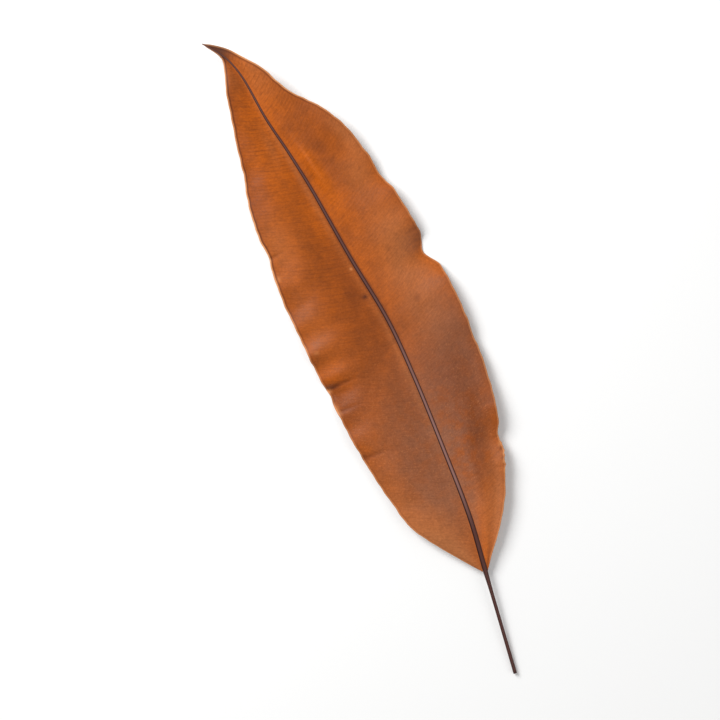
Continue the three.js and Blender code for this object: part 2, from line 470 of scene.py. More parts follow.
@dataclass
class LeafFinish(ShaderSketch):
    """The rust-orange preserved skin, its dark midrib, pale rim, paler underside, painted light and
    shade.

    Scales are in clouds a metre, or in cells from one side vein to the next for the net of finest veins.
    """

    name: str = "preserved_leaf_skin"
    orange: Colour = srgb(194, 94, 6)
    rust: Colour = srgb(148, 73, 20)
    # Colour of the painted shade, and of the dark streaks along the veins.
    shade: Colour = srgb(114, 54, 20)
    # A grey-brown bloom, partly painted sheen.
    bloom: Colour = srgb(150, 96, 69)
    # Pale tan, partly painted highlight.
    blush: Colour = srgb(188, 114, 66)
    # Pale flecks, and the colour of the scars and painted glints.
    fleck_and_glint: Colour = srgb(216, 138, 80)
    vein: Colour = srgb(112, 54, 20)
    # Dark spots, and the painted shade of the creases.
    mark: Colour = srgb(62, 28, 22)
    # Painted highlight on the midrib's crest.
    rib_highlight: Colour = srgb(146, 106, 98)
    rib_dull: Colour = srgb(90, 56, 50)
    # Painted shade on the midrib's flanks, darker on the left, and beside the midrib.
    rib_left_shade: Colour = srgb(44, 21, 19)
    rib_right_shade: Colour = srgb(70, 36, 28)
    # The pale rim is a painted highlight, and the dark line behind it painted shade.
    rim_highlight: Colour = srgb(222, 156, 102)
    rim_groove_shade: Colour = srgb(82, 38, 22)
    # The tail's dark colour, partly painted shade.
    tail: Colour = srgb(88, 56, 44)
    under: Colour = srgb(158, 104, 68)
    under_dull: Colour = srgb(134, 85, 55)
    under_vein: Colour = srgb(108, 60, 36)
    under_cover: float = 0.85
    cut: Colour = srgb(150, 112, 84)
    cloud_scale: float = 34.0
    mottle_scale: float = 150.0
    dapple_scale: float = 260.0
    felt_scale: float = 420.0
    wander_scale: float = 600.0
    grain_scale: float = 900.0
    fleck_scale: float = 1500.0
    net_scale: float = 2.6
    net_stretch: float = 11.0
    net_bend: float = 0.3
    bump_strength: float = 0.26
    bump_depth: float = 0.0001
    gloss: float = 0.24
    place: Socket = field(init=False)
    clouds: Socket = field(init=False)
    grain: Socket = field(init=False)

    def painted(self) -> bpy.types.Material:
        """Builds the skin's material, which reads the piece's own attributes."""
        self.place = self.node("ShaderNodeTexCoord").outputs["Object"]
        self.clouds = self.noise(self.place, self.cloud_scale, 3.0, 0.55)
        self.grain = self.noise(self.place, self.grain_scale, 2.0, 0.6)
        return self.finish({
            "Base Color": self.edged_colour(self.marked_and_shaded_colour(self.blade_colour())),
            "Roughness": self.roughness(),
            "Normal": self.relief(),
            "Specular IOR Level": self.gloss,
        })

    def along_veins(self, stretch: float) -> Socket:
        """Coordinates that follow the side veins, with stretch units from the midrib to the edge."""
        inputs = {"X": self.attribute("vein_phase"), "Y": self.times(self.attribute("across"), stretch)}
        return self.node("ShaderNodeCombineXYZ", inputs).outputs[0]

    def streaks(self, stretch: float, scale: float) -> Socket:
        """Long thin streaks that follow the side veins, as noise around 0.5."""
        return self.noise(self.along_veins(stretch), scale, 2.0, 0.6)

    def vein_line(self) -> Socket:
        """How strongly each side vein is drawn: most on the vein and not at all between two."""
        return self.times(self.between(self.vein_nearness(), 0.3, 0.5), self.attribute("ink"))

    def blade_colour(self) -> Socket:
        """The blade's colour: orange to rust, bloom, pale tan, painted light and shade, streaks, veins,
        grain.
        """
        lift = self.between(self.clouds, 0.3, 0.7, -0.24, 0.24)
        mottle = self.noise(self.place, self.mottle_scale, 4.0, 0.62)
        blots = self.between(mottle, 0.35, 0.65, -0.13, 0.13)
        # The tone's patches are partly painted light, brighter where the blade faces the light.
        tone = self.math("ADD", self.attribute("tone"), self.math("ADD", lift, blots), clamp=True)
        colour = self.mix(tone, self.rust, self.orange)
        # The grey-brown bloom is partly painted sheen, broken up where it is rubbed.
        rubbed = self.times(self.between(mottle, 0.4, 0.68, 0.0, 0.7), self.attribute("rubbed"))
        cover = self.between(self.clouds, 0.3, 0.65, 0.65, 1.0)
        cover = self.math("SUBTRACT", cover, rubbed, clamp=True)
        colour = self.mix(self.times(self.attribute("bloom"), cover), colour, self.bloom)
        # Painted shade, where the blade's slopes and folds lie in shade.
        colour = self.mix(self.attribute("shade"), colour, self.shade)
        flecks = self.noise(self.place, self.fleck_scale, 1.0, 0.5)
        flecks = self.between(flecks, 0.55, 0.8, 0.0, 0.3)
        colour = self.mix(self.times(flecks, self.attribute("dust")), colour, self.fleck_and_glint)
        # Pale tan, partly painted highlights.
        colour = self.mix(self.attribute("blush"), colour, self.blush)
        streaks = self.streaks(2.2, 1.3)
        dark = self.between(streaks, 0.42, 0.75, 0.0, 0.34)
        colour = self.mix(self.times(dark, self.attribute("ink")), colour, self.shade)
        line = self.times(self.vein_line(), self.between(streaks, 0.3, 0.7, 0.16, 0.46))
        colour = self.mix(line, colour, self.vein)
        threads = self.between(self.streaks(3.0, 4.2), 0.3, 0.7, 0.93, 1.07)
        pores = self.between(self.grain, 0.32, 0.68, 0.92, 1.07)
        dapple = self.noise(self.place, self.dapple_scale, 3.0, 0.6)
        dapple = self.between(dapple, 0.35, 0.65, 0.96, 1.04)
        speckle = self.times(dapple, self.times(threads, pores))
        return self.node("ShaderNodeHueSaturation", {"Value": speckle, "Color": colour}).outputs[0]

    def marked_and_shaded_colour(self, colour: Socket) -> Socket:
        """Adds the spots, painted crease shade, scars, painted glints and the partly painted dark tail.
        """
        # Spots with painted crease shade, scars with painted glints, and the tail, partly painted shade.
        for name, paint in (("mark", self.mark), ("scar", self.fleck_and_glint), ("tail", self.tail)):
            colour = self.mix(self.attribute(name), colour, paint)
        return colour

    def under_colour(self) -> Socket:
        """The dull, paler colour of the underside, with its darker side veins."""
        felt = self.noise(self.place, self.felt_scale, 4.0, 0.65)
        felt = self.math("ADD", self.clouds, self.between(felt, 0.3, 0.7, -0.07, 0.07))
        colour = self.mix(self.between(felt, 0.3, 0.7), self.under_dull, self.under)
        line = self.times(self.vein_line(), self.between(self.clouds, 0.3, 0.7, 0.9, 0.5))
        return self.mix(line, colour, self.under_vein)

    def edged_colour(self, colour: Socket) -> Socket:
        """Adds the underside, the rim, the midrib, their painted light and shade, the stalk and its cut
        end.
        """
        under = self.attribute("under")
        colour = self.mix(self.times(under, self.under_cover), colour, self.under_colour())
        # The dark line behind the rim is the painted shade of its groove.
        from_edge = self.attribute("from_edge")
        hem = self.attribute("hem")
        fade = self.times(self.between(from_edge, 1.1, 2.0, 0.66, 0.0), hem)
        groove_shade = self.times(self.between(from_edge, 0.5, 0.9), fade)
        colour = self.mix(groove_shade, colour, self.rim_groove_shade)
        # The pale rim is a painted highlight, weaker at the tail and on the underside.
        pale_share = self.between(self.clouds, 0.3, 0.7, 0.6, 0.95)
        pale_share = self.times(pale_share, self.between(hem, 0.1, 0.9, 0.5, 1.0))
        pale_share = self.times(pale_share, self.between(self.attribute("tail"), 0.0, 0.9, 1.0, 0.45))
        pale_share = self.times(pale_share, self.between(under, 0.0, 1.0, 1.0, 0.4))
        rim_highlight = self.times(self.between(from_edge, 0.42, 0.75, 1.0, 0.0), pale_share)
        colour = self.mix(rim_highlight, colour, self.rim_highlight)
        from_crest = self.attribute("from_crest")
        # The midrib's pale crest is a painted highlight over its own dull colour.
        crest = self.mix(self.attribute("crest"), self.rib_dull, self.rib_highlight)
        # Its flanks are painted shade, darker on the left than on the right.
        on_right = self.between(self.attribute("across"), -0.01, 0.01)
        flank_shade = self.mix(on_right, self.rib_left_shade, self.rib_right_shade)
        body = self.mix(self.between(from_crest, 0.2, 0.75), crest, flank_shade)
        # Painted shade on the blade beside the midrib.
        halo = self.times(self.between(from_crest, 0.9, 2.3, 1.0, 0.0), self.attribute("halo"))
        colour = self.mix(halo, colour, self.rib_right_shade)
        colour = self.mix(self.between(from_crest, 0.88, 1.06, 1.0, 0.0), colour, body)
        return self.mix(self.attribute("cut"), colour, self.cut)

    def roughness(self) -> Socket:
        """A satin skin, a little shinier in patches and on the midrib."""
        patchy = self.between(self.clouds, 0.3, 0.7, 0.44, 0.58)
        fine = self.between(self.grain, 0.3, 0.7, -0.05, 0.05)
        ribbed = self.between(self.attribute("from_crest"), 0.6, 1.1, -0.14, 0.0)
        return self.math("ADD", patchy, self.math("ADD", fine, ribbed), clamp=True)

    def relief(self) -> Socket:
        """The leathery grain and the net of finest veins, as bump."""
        along = self.along_veins(self.net_stretch)
        inputs = {"Vector": self.place, "Scale": self.wander_scale, "Detail": 1.0}
        wander = self.node("ShaderNodeTexNoise", inputs).outputs["Color"]
        inputs = {0: wander, "Scale": self.net_bend}
        bent = self.node("ShaderNodeVectorMath", inputs, operation="SCALE").outputs[0]
        moved = self.node("ShaderNodeVectorMath", {0: along, 1: bent}, operation="ADD").outputs[0]
        inputs = {"Vector": moved, "Scale": self.net_scale}
        net = self.node("ShaderNodeTexVoronoi", inputs, feature="DISTANCE_TO_EDGE").outputs[0]
        height = self.math("ADD", self.between(net, 0.0, 0.16, 0.0, 0.5), self.grain)
        inputs = {"Height": height, "Strength": self.bump_strength, "Distance": self.bump_depth}
        return self.node("ShaderNodeBump", inputs).outputs[0]


@dataclass
class VeinRelief(NodeSketch):
    """Raises the side veins, and the slight ripple of the dried skin, with Geometry Nodes."""

    height: float = 0.03
    sharpness: float = 1.6
    ripple_height: float = 1.1
    ripple_size: float = 19.0
    ripple_detail: float = 1.5
    seed: float = 4.0
    inputs: bpy.types.Node = field(init=False)

    def plant(self) -> None:
        """Builds the node tree, with named inputs for its sizes and its material."""
        self.tree = bpy.data.node_groups.new("side_vein_relief", "GeometryNodeTree")
        sockets = (
            ("Blade", "NodeSocketGeometry"),
            ("Vein Height", "NodeSocketFloat"),
            ("Vein Sharpness", "NodeSocketFloat"),
            ("Ripple Height", "NodeSocketFloat"),
            ("Ripple Size", "NodeSocketFloat"),
            ("Skin", "NodeSocketMaterial"),
        )
        for name, kind in sockets:
            self.tree.interface.new_socket(name, in_out="INPUT", socket_type=kind)
        self.tree.interface.new_socket("Leaf", in_out="OUTPUT", socket_type="NodeSocketGeometry")
        self.inputs = self.node("NodeGroupInput")
        both = self.node("ShaderNodeVectorMath", {0: self.vein_offset(), 1: self.ripple_offset()})
        inputs = {"Geometry": self.given("Blade"), "Offset": both.outputs[0]}
        move = self.node("GeometryNodeSetPosition", inputs)
        real = self.node("GeometryNodeRealizeInstances", {0: move.outputs[0]})
        inputs = {"Geometry": real.outputs[0], "Material": self.given("Skin")}
        paint = self.node("GeometryNodeSetMaterial", inputs)
        self.node("NodeGroupOutput", {0: paint.outputs[0]})

    def given(self, name: str) -> Socket:
        """One of the tree's own inputs."""
        return self.inputs.outputs[name]

    def attribute(self, name: str) -> Socket:
        """The value of one of the blade's own attributes."""
        made = self.node("GeometryNodeInputNamedAttribute", {"Name": name}, data_type="FLOAT")
        return made.outputs["Attribute"]

    def vein_offset(self) -> Socket:
        """How far each point is raised along its normal: a ridge on every vein."""
        ridge = self.times(self.vein_nearness(), 2.0)
        ridge = self.math("POWER", ridge, self.given("Vein Sharpness"))
        ridge = self.times(ridge, self.attribute("vein_reach"))
        ridge = self.times(ridge, self.given("Vein Height"))
        inputs = {0: self.node("GeometryNodeInputNormal").outputs[0], "Scale": ridge}
        return self.node("ShaderNodeVectorMath", inputs, operation="SCALE").outputs[0]

    def ripple_offset(self) -> Socket:
        """How far each point is lifted by the ripple of the dried skin."""
        scale = self.math("DIVIDE", 1.0, self.given("Ripple Size"))
        inputs = {"W": self.seed, "Detail": self.ripple_detail, "Scale": scale}
        clouds = self.node("ShaderNodeTexNoise", inputs, noise_dimensions="4D").outputs[0]
        lift = self.times(self.math("SUBTRACT", clouds, 0.5), self.given("Ripple Height"))
        lift = self.times(lift, self.attribute("ripple"))
        return self.node("ShaderNodeCombineXYZ", {"Z": lift}).outputs[0]

    def apply(self, piece: bpy.types.Object, skin: bpy.types.Material) -> None:
        """Raises the veins on a piece, sets its skin and leaves it a plain mesh."""
        self.plant()
        modifier = piece.modifiers.new("veins", "NODES")
        modifier.node_group = self.tree
        settings = {
            "Vein Height": self.height * MM,
            "Vein Sharpness": self.sharpness,
            "Ripple Height": self.ripple_height * MM,
            "Ripple Size": self.ripple_size * MM,
            "Skin": skin,
        }
        for item in self.tree.interface.items_tree:
            if item.in_out == "INPUT" and item.name in settings:
                modifier[item.identifier] = settings[item.name]
        bpy.context.view_layer.update()
        graph = bpy.context.evaluated_depsgraph_get()
        raised = bpy.data.meshes.new_from_object(
            piece.evaluated_get(graph), preserve_all_data_layers=True, depsgraph=graph
        )
        piece.modifiers.remove(modifier)
        piece.data = raised


@dataclass
class Leaf:
    """The leaf's skin: blade, midrib, keel and stalk as one closed mesh.

    In its methods rows are distances along the midrib, y is a point's own distance along the leaf, a is
    its share of the way from the midrib to the edge, and across is that share, below 0 on the left.
    Each Range is a pair of distances between which a value goes from its start to its end.
    """

    form: LeafForm = field(default_factory=LeafForm)
    finish: LeafFinish = field(default_factory=LeafFinish)
    veins: VeinRelief = field(default_factory=VeinRelief)
    seed: int = 11
    vein_spacing: float = 2.12
    vein_jitter: float = 0.16
    rows_a_vein: int = 4
    stagger: float = 0.5
    lean: float = 0.3
    lean_curve: float = 0.12
    upper_columns: int = 36
    under_columns: int = 24
    rib_columns: int = 7
    edge_points: int = 3
    stalk_rows: int = 30
    near_rib: tuple[float, ...] = (0.0, 0.3, 0.8, 1.7)
    near_edge: tuple[float, ...] = (0.0, 0.45, 1.1, 2.3)
    edge_band: float = 4.0
    edge_share: float = 0.6
    thin_band: float = 2.2
    foot_share: float = 0.3
    foot_growth: Range = (0.0, 6.0)
    tip_span: Range = (BLADE_LENGTH - 4.0, BLADE_LENGTH)
    tip_share: float = 0.5
    tip_width: float = 0.5
    groove: float = 0.14
    groove_width: float = 0.9
    bead: float = 0.07
    bead_width: float = 0.6
    crease_taper: float = 0.4
    crease_floor: float = 0.4
    # How much painted shade darkens the creases, and how dark spots and that shade may grow.
    crease_shade: float = 0.7
    darkest_spot_and_crease_shade: float = 0.8
    ragged_waves: tuple[float, ...] = (7.0, 11.0, 17.0, 29.0)
    ragged_height: float = 0.075
    ragged_start: Range = (5.0, 30.0)
    ragged_end: Range = (285.0, 305.0)
    fray_waves: tuple[float, ...] = (2.3, 3.7, 5.3)
    fray_height: float = 0.16
    fray_at: float = 54.0
    fray_reach: float = 13.0
    vein_growth: Range = (110.0, 230.0)
    least_vein: float = 0.4
    under_veins: float = 2.0
    off_floor: Range = (0.05, 0.6)
    off_rib: Range = (0.2, 2.5)
    off_edge: Range = (0.3, 2.5)
    ripple_off_floor: Range = (0.4, 2.5)
    ripple_off_rib: Range = (0.0, 6.0)
    stalk_power: float = 0.5
    rib_power: float = 0.8
    rib_across: float = 0.02
    rib_growth: Range = (0.0, 14.0)
    cut_rings: Pairs = ((0.0, 0.12), (0.55, 0.12), (0.86, 0.0))
    plain_tone: float = 0.42
    plain_ink: float = 0.3
    least_rub: float = 0.15
    dust_end: Range = (60.0, 190.0)
    # How much the pale flecks gather on the pale tan and painted highlights.
    dust_on_tan_and_highlight: float = 0.5
    # Where the painted highlight on the midrib's crest grows and fades, and the least of it.
    rib_highlight_start: Range = (20.0, 55.0)
    rib_highlight_end: Range = (75.0, 170.0)
    least_rib_highlight: float = 0.15
    # Painted shade beside the midrib: its strength, middle and reach along the leaf.
    halo: float = 0.5
    rib_shade_at: float = 180.0
    rib_shade_reach: float = 110.0
    # How dark the tail grows, partly as painted shade, and where.
    tail: float = 0.9
    dark_tail_and_shade_start: Range = (299.0, 310.0)
    # Patches of brighter, more orange tone, partly painted light.
    tone_and_light_patches: Patches = patch_set(
        (265, -0.55, 30, 0.5, 0.42), (290, 0.5, 20, 0.5, 0.3), (230, 0.2, 18, 0.09, 0.55),
        (200, 0.22, 40, 0.25, 0.15), (262, -0.1, 24, 0.14, 0.3), (206, -0.19, 15, 0.13, 0.35),
        (157, 0.93, 8, 0.12, 0.55), (129, -0.82, 9, 0.2, 0.45), (69, 0.93, 8, 0.14, 0.7),
        (32, 0.42, 26, 0.22, 0.6), (38, 0.5, 15, 0.06, 0.7), (12, -0.5, 18, 0.8, 0.35),
    )
    # Painted shade: patches darkened where the blade lies in shade.
    painted_shades: Patches = patch_set(
        (158, -0.25, 36, 0.26, 0.34), (92, 0.5, 40, 0.6, 0.36), (112, 0.45, 22, 0.3, 0.25),
        (55, 0.5, 22, 0.3, 0.1), (236, -0.88, 22, 0.3, 0.4), (236, 0.44, 18, 0.13, 0.35),
        (180, -0.95, 60, 0.14, 0.22), (50, 0.44, 18, 0.07, 0.35), (290, -0.85, 18, 0.3, 0.4),
        (62, 0.57, 22, 0.1, 0.15), (140, -0.7, 14, 0.3, 0.2), (262, 0.9, 16, 0.3, 0.25),
        (110, 0.8, 24, 0.3, 0.2), (70, 0.8, 20, 0.3, 0.2), (112, -0.85, 12, 0.3, 0.35),
        (201, 0.9, 9, 0.2, 0.3), (248, 0.82, 8, 0.2, 0.25), (160, 0.38, 10, 0.2, 0.12),
        (176, -0.16, 16, 0.12, 0.2),
    )
    # Grey-brown bloom, partly painted sheen.
    bloom_and_sheen_patches: Patches = patch_set(
        (70, -0.3, 42, 0.5, 0.85), (85, 0.35, 45, 0.5, 0.85), (118, 0.75, 32, 0.35, 0.75),
        (48, -0.4, 25, 0.35, 0.5), (55, 0.2, 25, 0.2, 0.4), (25, 0.15, 15, 0.1, 0.3),
    )
    rubs: Patches = patch_set((68, 0.5, 36, 0.5, 1.0))
    # Pale tan, partly painted highlights.
    tan_and_highlight_patches: Patches = patch_set(
        (16, -0.75, 22, 0.5, 1.0), (25, 0.72, 20, 0.45, 0.45), (45, -0.92, 26, 0.22, 0.35),
        (40, 0.9, 26, 0.2, 0.3), (178, 0.72, 22, 0.3, 0.5), (150, 0.5, 30, 0.3, 0.3),
        (219, 0.7, 10, 0.2, 0.35), (297, -0.4, 8, 0.3, 0.3), (254, -0.24, 10, 0.12, 0.25),
        (236, 0.92, 16, 0.14, 0.5), (205, -0.8, 16, 0.25, 0.3), (155, -0.82, 24, 0.22, 0.15),
        (292, 0.5, 18, 0.7, 0.35), (235, -0.07, 50, 0.05, 0.35), (120, -0.06, 45, 0.035, 0.3),
    )
    inks: Patches = patch_set(
        (275, -0.4, 40, 0.7, 0.6), (180, -0.35, 50, 0.35, 0.35), (288, 0.6, 30, 0.7, 0.4),
    )
    spots: Patches = patch_set(
        (160, -0.1, 1.3, 0.03, 0.85), (146, 0.5, 1.6, 0.045, 0.35), (58, 0.95, 0.9, 0.02, 0.5),
        (53, 0.96, 1.0, 0.025, 0.5), (49.5, 0.97, 0.8, 0.02, 0.4), (121.5, -0.9, 1.0, 0.05, 0.25),
    )
    # Pale scars, and painted glints on the left margin and beside the midrib.
    scar_and_glint_patches: Patches = patch_set(
        (176.4, -0.064, 0.7, 0.016, 1.0), (121, -0.99, 1.6, 0.03, 0.9), (109, -0.99, 3.5, 0.025, 0.9),
        (190.5, -0.95, 1.5, 0.03, 0.5), (146, -0.9, 1.2, 0.02, 0.5), (60, 0.97, 1.2, 0.03, 0.7),
        (55, 0.985, 1.6, 0.025, 0.8), (51, 0.97, 1.0, 0.03, 0.6), (47, 0.985, 1.3, 0.02, 0.7),
    )
    swells: Patches = patch_set(
        (231, 0.2, 17, 0.08, 1.7), (231, 0.7, 13, 0.2, -0.9), (241, -0.25, 13, 0.15, 0.8),
        (190, 0.5, 30, 0.2, 0.6), (126.5, -0.8, 5, 0.25, 0.4), (114, -0.8, 6, 0.25, 0.6),
        (92, -0.78, 9, 0.25, 0.6), (66, -0.75, 10, 0.3, 0.7), (54, -0.82, 5, 0.2, 0.5),
        (33, -0.5, 9, 0.3, 0.5),
    )

    def rows(self) -> tuple[Array, Array]:
        """Sets out the rows from the cut end of the stalk to the tip, with a fixed seed.

        Returns:
            Each row's distance from the blade's foot, and how many veins lie below it.
        """
        draw = np.random.default_rng(self.seed)
        count = round(BLADE_LENGTH / self.vein_spacing)
        gaps = 1 + self.vein_jitter * draw.uniform(-1, 1, count)
        crests = np.concatenate([[0.0], np.cumsum(gaps)]) / gaps.sum() * BLADE_LENGTH
        phases = np.arange(count * self.rows_a_vein + 1) / self.rows_a_vein
        blade = np.interp(phases, np.arange(count + 1), crests)
        stalk = np.linspace(-STALK_LENGTH, 0.0, self.stalk_rows, endpoint=False)
        return np.concatenate([stalk, blade]), np.concatenate([np.zeros(len(stalk)), phases])

    def wing_places(self, width: Array, columns: int) -> Array:
        """Each point's share of the way over one wing: they lie closer beside the midrib and the edge."""
        safe = np.maximum(width, TINY)[:, None]
        even = np.linspace(0.0, 1.0, columns)
        first = np.minimum(np.array(self.near_rib) / safe, even[: len(self.near_rib)])
        last = 1 - np.minimum(np.array(self.near_edge) / safe, even[: len(self.near_edge)])[:, ::-1]
        inner = columns - len(self.near_rib) - len(self.near_edge)
        steps = (np.arange(inner) + 1) / (inner + 1)
        middle = first[:, -1:] + (last[:, :1] - first[:, -1:]) * steps
        return np.concatenate([first, middle, last], axis=1)

    def body(self, rows: Array) -> Array:
        """How much of the blade's full thickness there is at each row: none on the stalk."""
        at_foot = grown(rows, self.foot_growth, self.foot_share)
        at_tip = grown(rows, self.tip_span, 1.0, self.tip_share)
        return np.where(rows > 0, at_foot, 0.0) * at_tip

    def ragged(self, side: Side, y: Array) -> Array:
        """How far the edge stands out or in by its small unevenness, with a fixed seed for each side."""
        draw = np.random.default_rng(self.seed + side.value)
        starts = draw.uniform(0, 2 * math.pi, len(self.ragged_waves))
        pairs = zip(self.ragged_waves, starts)
        waves = sum(np.sin(2 * math.pi * y / wave + start) for wave, start in pairs)
        there = smoothstep(y, *self.ragged_start) * (1 - smoothstep(y, *self.ragged_end))
        uneven = self.ragged_height * waves * there
        if side is Side.LEFT:
            return uneven
        frayed = sum(np.sin(2 * math.pi * y / wave) for wave in self.fray_waves)
        return uneven + self.fray_height * frayed * hump(y, self.fray_at, self.fray_reach)

    def hem(self, side: Side, y: Array) -> Array:
        """How strongly the rim's painted highlight and groove shade show: most along the left of the tip.
        """
        half = self.form.half(side)
        return grown(y, half.rim_light_and_shade_growth, *half.hem)

    def crease_depth(self, side: Side, y: Array, a: Array) -> Array:
        """How far the creases sink the blade."""
        depth = np.zeros_like(a)
        for crease in self.form.half(side).creases:
            outward = smoothstep(a, crease.inner, 1.0)
            width = crease.width * (self.crease_taper + (1 - self.crease_taper) * outward)
            line = np.exp(-(((y - crease.at) / width) ** 2))
            depth += crease.depth * line * outward
        return depth

    @staticmethod
    def total(patches: Patches, y: Array, across: Array) -> Array:
        """Adds up soft patches over the blade."""
        total = np.zeros_like(y)
        for patch in patches:
            away = ((y - patch.at) / patch.length) ** 2 + ((across - patch.across) / patch.width) ** 2
            total += patch.amount * np.exp(-away)
        return total

    def tint(self, patches: Patches, y: Array, across: Array, base: float = 0.0) -> Array:
        """Adds up soft patches of colour over a base, from 0 to 1."""
        return np.clip(base + np.clip(self.total(patches, y, across), 0.0, 1.0), 0.0, 1.0)

    def values(self, face: Face, y: Array, across: Array, **known: Array) -> Values:
        """The attributes that the veins and the finish read, with those that are known already."""
        zeros = np.zeros(y.shape)
        blush = self.tint(self.tan_and_highlight_patches, y, across)
        pale_share = 1 - smoothstep(y, *self.dust_end)
        # The share of the painted highlight along the midrib's crest.
        crest = smoothstep(y, *self.rib_highlight_start) * grown(y, self.rib_highlight_end, 1.0, self.least_rib_highlight)
        found = {
            "across": across,
            "tone": self.tint(self.tone_and_light_patches, y, across, self.plain_tone),
            "shade": self.tint(self.painted_shades, y, across),
            "bloom": self.tint(self.bloom_and_sheen_patches, y, across),
            "blush": blush,
            "rubbed": self.least_rub + (1 - self.least_rub) * self.tint(self.rubs, y, across),
            "dust": np.clip(pale_share + self.dust_on_tan_and_highlight * blush, 0.0, 1.0),
            "crest": crest,
            "halo": self.halo * hump(y, self.rib_shade_at, self.rib_shade_reach),
            "hem": zeros,
            "ink": zeros,
            "mark": self.tint(self.spots, y, across),
            "scar": self.tint(self.scar_and_glint_patches, y, across),
            "tail": self.tail * smoothstep(y, *self.dark_tail_and_shade_start),
            "under": zeros + (1.0 if face is Face.UNDER else 0.0),
            "from_edge": zeros + self.edge_band,
            "cut": zeros,
            "from_crest": zeros,
            "vein_phase": zeros,
            "vein_reach": zeros,
            "ripple": zeros,
        }
        found.update(known)
        return {name: np.broadcast_to(value, y.shape) for name, value in found.items()}

    def wing(self, face: Face, side: Side, rows: Array, phases: Array) -> Strip:
        """One face of one wing, from the midrib to the edge. Phases count the veins below each row."""
        form = self.form
        columns = self.upper_columns if face is Face.UPPER else self.under_columns
        on_blade = rows > 0
        reach = np.maximum(0.0, form.outline(side, rows) - 0.5 * form.rib_width(rows))
        reach = np.where(on_blade, reach, 0.0)
        share = self.wing_places(reach, columns)
        leaning = (self.lean * share + self.lean_curve * share**2) * reach[:, None]
        y = np.minimum(rows[:, None] + leaning, np.maximum(rows[:, None], BLADE_LENGTH))
        edge = form.outline(side, y) + self.ragged(side, y)
        body = self.body(rows)[:, None]
        inset = 0.5 * self.edge_share * form.thickness * body
        near = 0.5 * form.rib_width(y)
        width = np.where(on_blade[:, None], np.maximum(0.0, edge - inset - near), 0.0)
        from_rib = share * width
        from_edge = (1 - share) * width
        a = np.clip((near + from_rib) / edge, 0.0, 1.0) * on_blade[:, None]
        across = side.value * a
        z = form.underside(side, y, a) + self.total(self.swells, y, across) * body
        thinned = 1 - (1 - self.edge_share) * np.exp(-((from_edge / self.thin_band) ** 2))
        thick = form.thickness * body * thinned * form.steepness(side, y, a)
        deepest = z + self.crease_floor * form.thickness
        sunk = np.minimum(self.crease_depth(side, y, a), deepest) * body
        bead = self.bead * np.exp(-((from_edge / self.bead_width) ** 2)) * body
        groove = self.groove * np.exp(-((from_rib / self.groove_width) ** 2)) * body
        if face is Face.UPPER:
            z = z + thick - sunk + bead - groove
            raised = 1.0
        else:
            z = np.maximum(0.0, z - sunk - bead)
            raised = self.under_veins * smoothstep(z, *self.off_floor)
        x, y_plan = form.beside_rib(y, side.value * (near + from_rib))
        fade = smoothstep(from_rib, *self.off_rib) * smoothstep(from_edge, *self.off_edge) * body
        at_foot = 1 - smoothstep(y, *self.foot_growth)
        rippled = smoothstep(z, *self.ripple_off_floor) * smoothstep(from_rib, *self.ripple_off_rib)
        stagger = self.stagger if side is Side.LEFT else 0.0
        values = self.values(
            face,
            y,
            across,
            from_edge=np.minimum(from_edge, self.edge_band) + at_foot * self.edge_band,
            from_crest=1 + from_rib / np.maximum(near, 0.3),
            vein_phase=phases[:, None] + stagger,
            vein_reach=raised * fade * grown(y, self.vein_growth, self.least_vein),
            hem=self.hem(side, y),
            ink=fade * self.tint(self.inks, y, across, self.plain_ink),
            ripple=rippled * body,
        )
        # The creases are darkened with painted shade as deep as they sink.
        values["mark"] = np.clip(values["mark"] + self.crease_shade * sunk, 0.0, self.darkest_spot_and_crease_shade)
        return Strip(x, y_plan, z, values)

    def edge(self, rows: Array, upper: Strip, under: Strip) -> Strip:
        """The rounded edge of a wing, from its upper face to its underside."""
        angles = np.linspace(0.5 * math.pi, -0.5 * math.pi, self.edge_points + 2)[1:-1]
        thick = self.edge_share * self.form.thickness * self.body(rows)[:, None]
        out = 0.5 * thick * np.cos(angles)
        middle = 0.5 * (upper.z[:, -1:] + under.z[:, -1:])
        half = 0.5 * (upper.z[:, -1:] - under.z[:, -1:])
        step_x = upper.x[:, -1] - upper.x[:, 0]
        step_y = upper.y[:, -1] - upper.y[:, 0]
        length = np.maximum(np.hypot(step_x, step_y), TINY)
        x = upper.x[:, -1:] + out * (step_x / length)[:, None]
        y = upper.y[:, -1:] + out * (step_y / length)[:, None]
        z = middle + half * np.sin(angles)
        values = {name: np.broadcast_to(value[:, -1:], x.shape) for name, value in upper.values.items()}
        return Strip(x, y, z, values)

    def rib(self, face: Face, rows: Array, left: Strip, right: Strip) -> Strip:
        """The midrib's ridge or keel and half of the stalk, without the points that the wings share."""
        form = self.form
        y = rows[:, None]
        place = -np.cos(np.linspace(0.0, math.pi, self.rib_columns + 2))[1:-1]
        across = 0.5 * form.rib_width(y) * place
        level = left.z[:, :1] + (right.z[:, :1] - left.z[:, :1]) * 0.5 * (1 + place)
        bottom = form.rib_rise(y)
        crest = bottom + form.rib_height(y)
        power = grown(y, self.rib_growth, self.stalk_power, self.rib_power)
        bulge = np.maximum(0.0, 1 - place**2) ** power
        if face is Face.UPPER:
            z = level + (np.maximum(crest, level) - level) * bulge
        else:
            z = np.maximum(0.0, level - np.maximum(0.0, level - bottom) * bulge)
        x, y_plan = form.beside_rib(y, across)
        every_y = np.broadcast_to(y, across.shape)
        every_place = np.broadcast_to(place, across.shape)
        values = self.values(face, every_y, self.rib_across * every_place, from_crest=np.abs(every_place))
        return Strip(x, y_plan, z, values)

